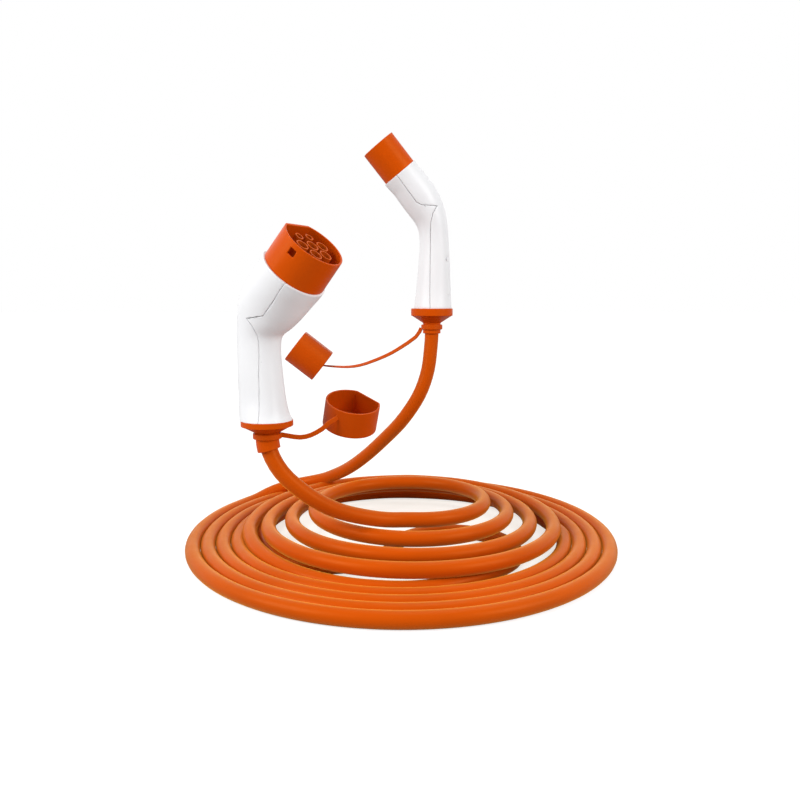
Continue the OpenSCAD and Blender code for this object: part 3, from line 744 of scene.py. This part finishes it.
@dataclass
class Cable:
    """The whole cord on one line, from the plug's neck through the coil to the connector's neck.

    Attributes:
        diameter: Its diameter.
        plug_neck: Where it leaves the plug's neck.
        connector_neck: Where it enters the connector's neck.
        plug_fall: Its way from the plug down to the raised turns.
        connector_rise: Its way from the connector down to the floor.
        raised_centre: Middle of the raised turns.
        raised_start: Radius at which they start, in front.
        raised_growth: How much they grow each turn.
        heights: Height of their middle line at some turns.
        landing: (angle, radius, height) about the coil's middle, where they come down.
        bight_r: Radius of the bend by which the cord turns back on the floor.
        bight_first: Middle of the bend's first arc.
        bight_second: Middle of its second arc.
        floor_start: (angle, radius, height) about that middle, where the flat turns begin.
        flat_x: How far right of the coil's middle the flat turns have theirs.
        flat_r: Radius of the first full flat turn, in front.
        turn_steps: Parts of each raised turn.
        raised_steps: Points of all raised turns.
        bight_steps: Parts of the bend's two arcs.
        flat_steps: First and last point of the flat turns.
        flat_turn_steps: Parts of each flat turn.
        fineness: Parts of each stretch between two points when they are smoothed.
        spacing: Distance between points of the finished line.
        held: How many points at each end keep their height when the coil settles.
        lies_over: Points to each side that share their height with a point.
        settlings: How often the heights are evened out.
        least_bend: Radius of the tightest bend that the cord takes.
        easings: How often the tight bends are eased.
        easing: The share of the way that a point of a tight bend then moves.
        roundness: Half of the faces round the tube, less two.
        line: The finished line's points, in metres.
    """

    diameter: float = 17.2
    plug_neck: Point = (-134.53, -138.18, 140.90)
    connector_neck: Point = (39, 47, 251)
    plug_fall: tuple[Point, ...] = (
        (-130, -139, 129), (-122, -140.5, 117), (-111, -140, 106), (-94, -136, 91), (-75, -127, 77),
        (-56, -115, 66.5), (-30, -101, 57), (-12, -93.5, 53))
    connector_rise: tuple[Point, ...] = (
        (38, 46, 235), (34, 43, 204), (23, 42, 173), (3, 50, 141), (-19, 70, 114), (-48, 100, 82),
        (-76, 128, 57), (-108, 157, 37), (-125, 168, 29.5), (-147, 175, 25.5), (-168, 172, 23.5),
        (-186, 162, 18.5), (-202, 145, 10.5))
    raised_centre: Pair = (6, 0)
    raised_start: float = 88.6
    raised_growth: float = 28.0
    heights: tuple[Pair, ...] = (
        (0, 51.6), (0.25, 48), (0.5, 45), (0.75, 42), (1, 39.2), (1.25, 36), (1.75, 31), (2, 30.5),
        (2.15, 27.5), (2.25, 26.3), (2.5, 27), (2.75, 25), (2.83, 27), (2.92, 26), (3.06, 25.6),
        (3.11, 24.5), (3.25, 23.5), (3.4, 24.5))
    landing: tuple[Point, ...] = (
        (56, 188.5, 24.8), (67, 189.3, 25), (79, 190, 25), (90, 190, 25), (112, 189, 24.6),
        (135, 187, 23.5), (158, 185, 21.8), (180, 183.3, 19.5), (196, 181.5, 17.6), (210, 180, 15),
        (225, 178.6, 10.6), (240, 178, 8.6), (255, 178.6, 8.6), (270, 179.4, 8.6), (281, 177, 8.6),
        (290, 172.6, 8.6), (300, 167, 8.6))
    bight_r: float = 71.0
    bight_first: Pair = (60.4, -69.4)
    bight_second: Pair = (-79.7, -46.0)
    floor_start: tuple[Point, ...] = (
        (-150, 163, 8.6), (-165, 165.6, 8.6), (-180, 170, 8.6), (-200, 175, 8.6),
        (-220, 178.5, 8.6), (-245, 181, 8.6), (-270, 184, 8.6), (-300, 188.6, 8.6),
        (-330, 193, 8.6))
    flat_x: float = 4.3
    flat_r: float = 196.6
    turn_steps: int = 24
    raised_steps: int = 82
    bight_steps: tuple[int, int] = (18, 11)
    flat_steps: tuple[int, int] = (-9, 120)
    flat_turn_steps: int = 36
    fineness: int = 8
    spacing: float = 9.0
    held: int = 60
    lies_over: int = 5
    settlings: int = 2
    least_bend: float = 70.0
    easings: int = 60
    easing: float = 0.2
    roundness: int = 8
    line: list[Vector] = field(default_factory=list)

    def height(self, turns: float) -> float:
        """Height of the raised turns' middle line.

        Args:
            turns: How many turns it has run from their start.

        Returns:
            The height.
        """
        for (t0, z0), (t1, z1) in zip(self.heights, self.heights[1:]):
            if turns <= t1:
                return z0 + (z1 - z0) * (turns - t0) / (t1 - t0)
        return self.heights[-1][1]

    def raised_turns(self) -> list[Vector]:
        """The raised turns, anticlockwise from the front, until they begin to come down.

        Returns:
            Their points.
        """
        return [on_circle(self.raised_centre, self.raised_start + self.raised_growth * t,
                          360 * t - 90, self.height(t))
                for t in (step / self.turn_steps for step in range(self.raised_steps))]

    def bight(self) -> list[Vector]:
        """The bend on the floor by which the cord turns back, as two arcs that meet.

        Returns:
            Its points.
        """
        floor = self.diameter / 2
        first, second = Vector(self.bight_first), Vector(self.bight_second)
        start = math.degrees(math.atan2(first.y, first.x))
        meet = math.degrees(math.atan2((second - first).y, (second - first).x))
        back = math.degrees(math.atan2((first - second).y, (first - second).x))
        end = math.degrees(math.atan2(second.y, second.x))
        in_left, in_right = self.bight_steps
        left = [on_circle(first, self.bight_r, start + (meet - start) * k / in_left, floor)
                for k in range(in_left + 1)]
        right = [on_circle(second, self.bight_r, back + (end - back) * k / in_right, floor)
                 for k in range(1, in_right)]
        return left + right

    def flat_turns(self) -> list[Vector]:
        """The flat turns, clockwise and growing by one diameter a turn, until the cord rises.

        Returns:
            Their points.
        """
        first, last = self.flat_steps
        full = [on_circle((self.flat_x, 0), self.flat_r + self.diameter * k / self.flat_turn_steps,
                          -90 - 360 / self.flat_turn_steps * k, self.diameter / 2)
                for k in range(first, last + 1)]
        return round_middle(self.floor_start) + full

    def lay_out(self) -> list[Vector]:
        """Joins the stretches and spaces their points evenly.

        Returns:
            The points of the line, in metres.
        """
        rough = [Vector(point) for point in (self.plug_neck, *self.plug_fall)]
        rough += self.raised_turns()
        rough += round_middle(self.landing) + self.bight() + self.flat_turns()
        rough += [Vector(point) for point in reversed(self.connector_rise)]
        rough.append(Vector(self.connector_neck))
        self.line = even(even(smooth(rough, self.fineness), self.spacing), self.spacing)
        self.settle()
        self.relax()
        self.line = [point * MM for point in self.line]
        return self.line

    def settle(self) -> None:
        """Evens out the heights in the coil, where the stiff cord lies on itself."""
        for _ in range(self.settlings):
            heights = [point.z for point in self.line]
            for index in range(self.held, len(heights) - self.held):
                near = heights[index - self.lies_over:index + self.lies_over + 1]
                self.line[index].z = sum(near) / len(near)

    def relax(self) -> None:
        """Eases each bend that is tighter than the cord allows, its two ends kept."""
        for _ in range(self.easings):
            for index in range(1, len(self.line) - 1):
                before, here, after = self.line[index - 1:index + 2]
                coming, going = here - before, after - here
                if (coming.length + going.length) / 2 < self.least_bend * coming.angle(going):
                    self.line[index] = here.lerp((before + after) / 2, self.easing)

    def build(self, paint: Paint) -> Piece:
        """Makes the cord as a closed tube along its line.

        Args:
            paint: The finishes.

        Returns:
            The cord.
        """
        points = self.lay_out()
        curve = bpy.data.curves.new("cord", "CURVE")
        curve.dimensions = "3D"
        curve.bevel_depth = self.diameter / 2 * MM
        curve.bevel_resolution = self.roundness
        curve.use_fill_caps = True
        spline = curve.splines.new("POLY")
        spline.points.add(len(points) - 1)
        for target, point in zip(spline.points, points):
            target.co = (*point, 1)
        spline.use_smooth = True
        cord = bpy.data.objects.new("cord", curve)
        bpy.context.collection.objects.link(cord)
        activate(cord)
        bpy.ops.object.convert(target="MESH")
        cord = bpy.context.object
        paint.dress_piece(cord, SHEATH)
        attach(cord, "root")
        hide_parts("cable_coil", "plug_lead", "connector_lead")
        return cord

    def length(self) -> float:
        """Length of the line in metres."""
        return sum((b - a).length for a, b in zip(self.line, self.line[1:]))


def measure(row: Sequence[float]) -> tuple[Vector, float, float, float]:
    """Middle, half depth, half width and lean of a row of a handle's outline.

    Args:
        row: The row, in millimetres.

    Returns:
        Those four, in metres and radians.
    """
    back, front = Vector((row[0], 0, row[1])) * MM, Vector((row[2], 0, row[3])) * MM
    return ((back + front) / 2, (front - back).length / 2, row[4] * MM,
            math.atan2(back.z - front.z, front.x - back.x))


@dataclass
class Handle:
    """A white handle of two shells, parted by a fine seam.

    Attributes:
        end: The end of the cable that it belongs to.
        stand: Where the grip's foot stands.
        turned: How far it is turned about the vertical, in degrees.
        head: Place of the middle of its mouth in the side view.
        tilt: Tilt of the mouth, in degrees.
        mouth_r: Outer radius at the mouth.
        sleeve_r: Outer radius of the orange sleeve that sets into the mouth.
        grip: Rows of the outline: back x, z, front x, z and half width, from the flange up.
        seam: The seam's points in the side view, from the flange up.
        seam_mouth: Where the seam meets the mouth, across it.
        screw_seats: Depth of the screws' seats in the back shell.
        screw_rows: Heights of the screws.
        screw_y: How far they stand from the middle.
        screw_head_r: Radius of the holes over their heads.
        screw_head: Height of the heads.
        plug_slip: Gap round the plugs in those holes.
        face_flat: Share of the sleeve's radius by which the mouth's flat is cut in.
        mouth_swell: How much narrower the collar is behind the mouth.
        collar_back: How far behind the mouth that is.
        collar_flat: Share of the mouth's flat that the collar has.
        wall: The shells' wall.
        seam_gap: Width of the seam.
        rim_ease: Width of the rounding of every sharp edge.
        rim_corner: Angle in degrees from which an edge counts as sharp.
        rim_segments: Faces across a rounding.
        behind: Depth of a place behind the whole handle.
        beyond: A distance that reaches past the whole handle.
        sides: Sides of the body.
        steps: Parts of each stretch between two rows.
    """

    end: End
    stand: Point
    turned: float
    head: Pair
    tilt: float
    mouth_r: float
    sleeve_r: float
    grip: list[Row]
    seam: list[Pair]
    seam_mouth: float
    screw_seats: Pair
    screw_rows: Pair = (14, 60)
    screw_y: float = 13.6
    screw_head_r: float = 3.1
    screw_head: float = 2.2
    plug_slip: float = 0.12
    face_flat: float = 0.16
    mouth_swell: float = 0.6
    collar_back: float = 9.0
    collar_flat: float = 0.8
    wall: float = 2.6
    seam_gap: float = 0.5
    rim_ease: float = 0.3
    rim_corner: float = 50.0
    rim_segments: int = 2
    behind: float = -60.0
    beyond: float = 130.0
    sides: int = 56
    steps: int = 4

    def head_point(self, across: float, out: float) -> Pair:
        """Place in the side view of a point of the head.

        Args:
            across: How far it lies from the mouth's middle toward the front.
            out: How far it stands out of the mouth.

        Returns:
            The place.
        """
        tilt = math.radians(self.tilt)
        return (self.head[0] + across * math.cos(tilt) + out * math.sin(tilt),
                self.head[1] + out * math.cos(tilt) - across * math.sin(tilt))

    def head_row(self, radius: float, out: float, set_back: float) -> Row:
        """A row of the outline across the head, with the share of its radius up to its flat."""
        return [*self.head_point(-radius, out), *self.head_point(radius, out),
                radius, 1 - set_back / radius]

    def rows(self) -> list[Vector]:
        """All rows of the outline, made fine.

        Returns:
            The rows.
        """
        set_back = self.face_flat * self.sleeve_r
        given = [[*row, 1.0] for row in self.grip]
        given.append(self.head_row(self.mouth_r - self.mouth_swell, -self.collar_back,
                                   self.collar_flat * set_back))
        given.append(self.head_row(self.mouth_r, 0, set_back))
        return smooth(given, self.steps)

    def shape_ring(self, piece: Piece, row: Vector, before: Vector | None) -> None:
        """Brings the selected ring from one row of the outline to the next.

        Args:
            piece: The handle's mesh in edit mode, with its last ring selected.
            row: Where the ring goes.
            before: The row where it is, or nothing for the first ring.
        """
        middle, deep, wide, lean = measure(row)
        was_middle, was_deep, was_wide, was_lean = (
            measure(before) if before is not None else (Vector(), 1.0, 1.0, 0.0))
        turn(-was_lean, "Y", was_middle)
        bpy.ops.transform.resize(value=(deep / was_deep, wide / was_wide, 1),
                                 center_override=was_middle)
        if row[5] < FULLY_ROUND:
            flat = was_middle.x - row[5] * deep
            mesh = bmesh.from_edit_mesh(piece.data)
            ring = [vertex for vertex in mesh.verts if vertex.select]
            for vertex in ring:
                vertex.select = vertex.co.x < flat
            bpy.ops.transform.resize(value=(0, 1, 1), center_override=(flat, 0, 0))
            for vertex in ring:
                vertex.select = True
            mesh.select_flush_mode()
        turn(lean, "Y", was_middle)
        bpy.ops.transform.translate(value=middle - was_middle)

    def form(self) -> Piece:
        """The handle's whole form, closed at both ends.

        Returns:
            The form.
        """
        deselect()
        bpy.ops.mesh.primitive_circle_add(vertices=self.sides, radius=1)
        piece = bpy.context.object
        bpy.ops.object.mode_set(mode="EDIT")
        before = None
        for row in self.rows():
            if before is not None:
                bpy.ops.mesh.extrude_edges_move(TRANSFORM_OT_translate={"value": (0, 0, 0)})
            self.shape_ring(piece, row, before)
            before = row
        bpy.ops.mesh.select_all(action="SELECT")
        bpy.ops.mesh.fill_holes(sides=self.sides)
        bpy.ops.mesh.normals_make_consistent(inside=False)
        bpy.ops.object.mode_set(mode="OBJECT")
        return piece

    def hollow(self, form: Piece) -> Piece:
        """A copy of the whole form as a wall that is open at both ends, with the screws' holes.

        Args:
            form: The handle's whole form.

        Returns:
            The wall.
        """
        piece = duplicate(form, f"{self.end.value}_wall")
        bpy.ops.object.mode_set(mode="EDIT")
        mesh = bmesh.from_edit_mesh(piece.data)
        for face in mesh.faces:
            face.select = len(face.verts) == self.sides
        bmesh.update_edit_mesh(piece.data)
        bpy.ops.mesh.delete(type="ONLY_FACE")
        bpy.ops.object.mode_set(mode="OBJECT")
        apply_modifier(piece, "SOLIDIFY", thickness=self.wall * MM, offset=-1, use_rim=True)
        for y, z, seat in self.screws():
            hole = rod(self.screw_head_r, (seat, y, z), (self.behind, y, z))
            carve(piece, hole, Cut.AWAY)
        return piece

    def screws(self) -> list[tuple[float, float, float]]:
        """Side place, height and depth of seat of each screw."""
        return [(y, z, seat) for z, seat in zip(self.screw_rows, self.screw_seats)
                for y in (-self.screw_y, self.screw_y)]

    def hole_plugs(self, form: Piece) -> Piece:
        """The round plugs over the screws, flush with the form.

        Args:
            form: The handle's whole form.

        Returns:
            The plugs as one piece.
        """
        plugs = []
        for y, z, seat in self.screws():
            plug = rod(self.screw_head_r - self.plug_slip, (seat - self.screw_head, y, z),
                       (self.behind, y, z))
            carve(plug, duplicate(form, "form_copy"), Cut.KEEP)
            plugs.append(plug)
        deselect()
        for plug in plugs:
            plug.select_set(True)
        bpy.context.view_layer.objects.active = plugs[0]
        bpy.ops.object.join()
        plugs[0].name = f"{self.end.value}_hole_plugs_moulding"
        self.place(plugs[0])
        finish_mesh(plugs[0])
        return plugs[0]

    def seam_side(self, shift: float) -> Piece:
        """The body whose edge is the seam, toward the front.

        Args:
            shift: How far the edge moves toward the front, square to itself.

        Returns:
            The body.
        """
        far = self.beyond
        line = [(self.seam[0][0], -far), *self.seam, self.head_point(self.seam_mouth, 0),
                self.head_point(self.seam_mouth, far)]
        corners = [*offset_line(line, shift), self.head_point(far, far), (2 * far, -far)]
        return outline_prism("seam_side", corners, far)

    def place(self, piece: Piece) -> None:
        """Stands a piece where the handle stands."""
        piece.matrix_world = (Matrix.Translation(Vector(self.stand) * MM)
                              @ Matrix.Rotation(math.radians(self.turned), 4, "Z"))

    def shell(self, side: Side, body: Piece) -> Piece:
        """One of the two shells.

        Args:
            side: Which of them.
            body: The handle's hollow body.

        Returns:
            The shell.
        """
        piece = duplicate(body, f"{self.end.value}_{side.value}_shell_moulding")
        cut, shift = ((Cut.AWAY, -self.seam_gap / 2) if side is Side.BACK
                      else (Cut.KEEP, self.seam_gap / 2))
        carve(piece, self.seam_side(shift), cut)
        self.place(piece)
        ease_edges(piece, self.rim_ease, self.rim_segments, self.rim_corner)
        finish_mesh(piece)
        return piece

    def build(self, paint: Paint) -> list[Piece]:
        """Makes both shells and the plugs over their screws in place of the CAD's.

        Args:
            paint: The finishes.

        Returns:
            The shells and the plugs.
        """
        form, end = self.form(), self.end.value
        body = self.hollow(form)
        pieces = {f"{end}_{side.value}_shell": self.shell(side, body) for side in Side}
        pieces[f"{end}_hole_plugs"] = self.hole_plugs(form)
        for node, piece in pieces.items():
            paint.dress_piece(piece, WHITE_SHELL)
            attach(piece, "root")
            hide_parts(node)
        bpy.data.objects.remove(form)
        bpy.data.objects.remove(body)
        return list(pieces.values())


PLUG_HANDLE = Handle(
    end=End.PLUG, stand=(-136, -138, 172), turned=-31, head=(39.7, 147), tilt=42.5, mouth_r=34.2,
    sleeve_r=32.4,
    grip=[[-28, 0, 26, 0, 26], [-29.5, 8, 22.5, 8, 24], [-30.6, 22, 20, 22, 21.5],
          [-31, 45, 17, 45, 20.9], [-30.8, 70, 14.8, 70, 20.6], [-30.6, 90, 17.5, 84, 21],
          [-28.8, 108, 30, 92, 23.5], [-24.3, 125, 42, 101.5, 27], [-10, 143, 52.5, 112, 31]],
    seam=[(9.1, 0), (6.7, 24), (5.9, 52), (6.1, 86.5), (4.1, 95), (-1.8, 103), (19.4, 105.6),
          (36.4, 120.5)],
    seam_mouth=16.5, screw_seats=(-18, -19))

CONNECTOR_HANDLE = Handle(
    end=End.CONNECTOR, stand=(39, 47, 282), turned=192, head=(40.7, 163), tilt=40, mouth_r=23.4,
    sleeve_r=21.8,
    grip=[[-24.5, 0, 22.5, 0, 24], [-23.5, 20, 20, 20, 21], [-21.8, 60, 16.3, 60, 19.5],
          [-19.5, 90, 15.6, 86, 19.5], [-17.5, 108, 19.5, 101, 20.3], [-13, 126, 29.5, 114, 21.5],
          [-3.5, 145, 40, 127, 22.5], [9, 161, 46.5, 135.5, 22.8]],
    seam=[(7.9, 0), (7.1, 36), (6.6, 70), (6.9, 103), (4.8, 113.6), (-0.4, 122.4), (18.6, 123),
          (24.4, 126), (32.7, 136.3), (41.2, 147)],
    seam_mouth=10.5, screw_seats=(-13, -12), wall=2.0)


@dataclass(frozen=True)
class EasedMoulding:
    """A rigid moulding of the CAD's form, with its sharp edges rounded as a mould leaves them.

    Attributes:
        node: The CAD node that it stands for.
        finish: Its finish.
        ease: Width of the rounding in millimetres.
        corner: Angle in degrees from which an edge counts as sharp.
        segments: Faces across a rounding.
        weld: Distance in metres up to which points become one.
        even_up_to: Angle in degrees up to which faces become one.
    """

    node: str
    finish: Moulding
    ease: float
    corner: float = 38.0
    segments: int = 3
    weld: float = 1e-6
    even_up_to: float = 0.4

    def build(self, paint: Paint, source: Piece) -> Piece:
        """Makes the moulding.

        Args:
            paint: The finishes.
            source: The CAD node's own object, which stays as it is.

        Returns:
            The moulding.
        """
        piece = duplicate(source, f"{self.node}_moulding")
        bpy.ops.object.mode_set(mode="EDIT")
        bpy.ops.mesh.select_all(action="SELECT")
        bpy.ops.mesh.remove_doubles(threshold=self.weld)
        bpy.ops.mesh.dissolve_limited(angle_limit=math.radians(self.even_up_to))
        bpy.ops.object.mode_set(mode="OBJECT")
        ease_edges(piece, self.ease, self.segments, self.corner)
        bpy.ops.object.shade_smooth_by_angle(angle=math.radians(self.corner))
        apply_modifier(piece, "WEIGHTED_NORMAL", keep_sharp=True)
        paint.dress_piece(piece, self.finish)
        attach(piece, "root")
        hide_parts(self.node)
        return piece


EASED_MOULDINGS = (
    EasedMoulding("plug_skirt", ORANGE_MOULDING, 0.8),
    EasedMoulding("connector_nose", ORANGE_MOULDING, 0.7),
    EasedMoulding("plug_carrier", CARRIER_WITH_PAINTED_SHADE, 0.3),
    EasedMoulding("plug_strain_relief", ORANGE_MOULDING, 0.6),
    EasedMoulding("connector_strain_relief", ORANGE_MOULDING, 0.6),
    EasedMoulding("plug_cap", CAP_RUBBER, 0.6), EasedMoulding("connector_cap", CAP_RUBBER, 0.6))


def report(what: str, pieces: Iterable[Piece]) -> None:
    """Logs the faces of some pieces.

    Args:
        what: The kind of the pieces.
        pieces: The pieces.
    """
    for piece in pieces:
        LOG.info("%s: %s, %d faces", what, piece.name, len(piece.data.polygons))


def main() -> None:
    """Loads the frame and builds everything in order."""
    logging.basicConfig(level=logging.INFO, format="%(message)s")
    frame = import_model()
    Studio().build()
    paint = Paint()
    cable = Cable()
    report("cord", [cable.build(paint)])
    LOG.info("cord length %.3f m", cable.length())
    for name, node in frame["nodes"].items():
        paint.dress_node(node, NODE_FINISHES[name])
    for handle in (PLUG_HANDLE, CONNECTOR_HANDLE):
        report("handle", handle.build(paint))
    report("moulding", [eased.build(paint, frame["nodes"][eased.node])
                        for eased in EASED_MOULDINGS])


if __name__ == "__main__":
    main()
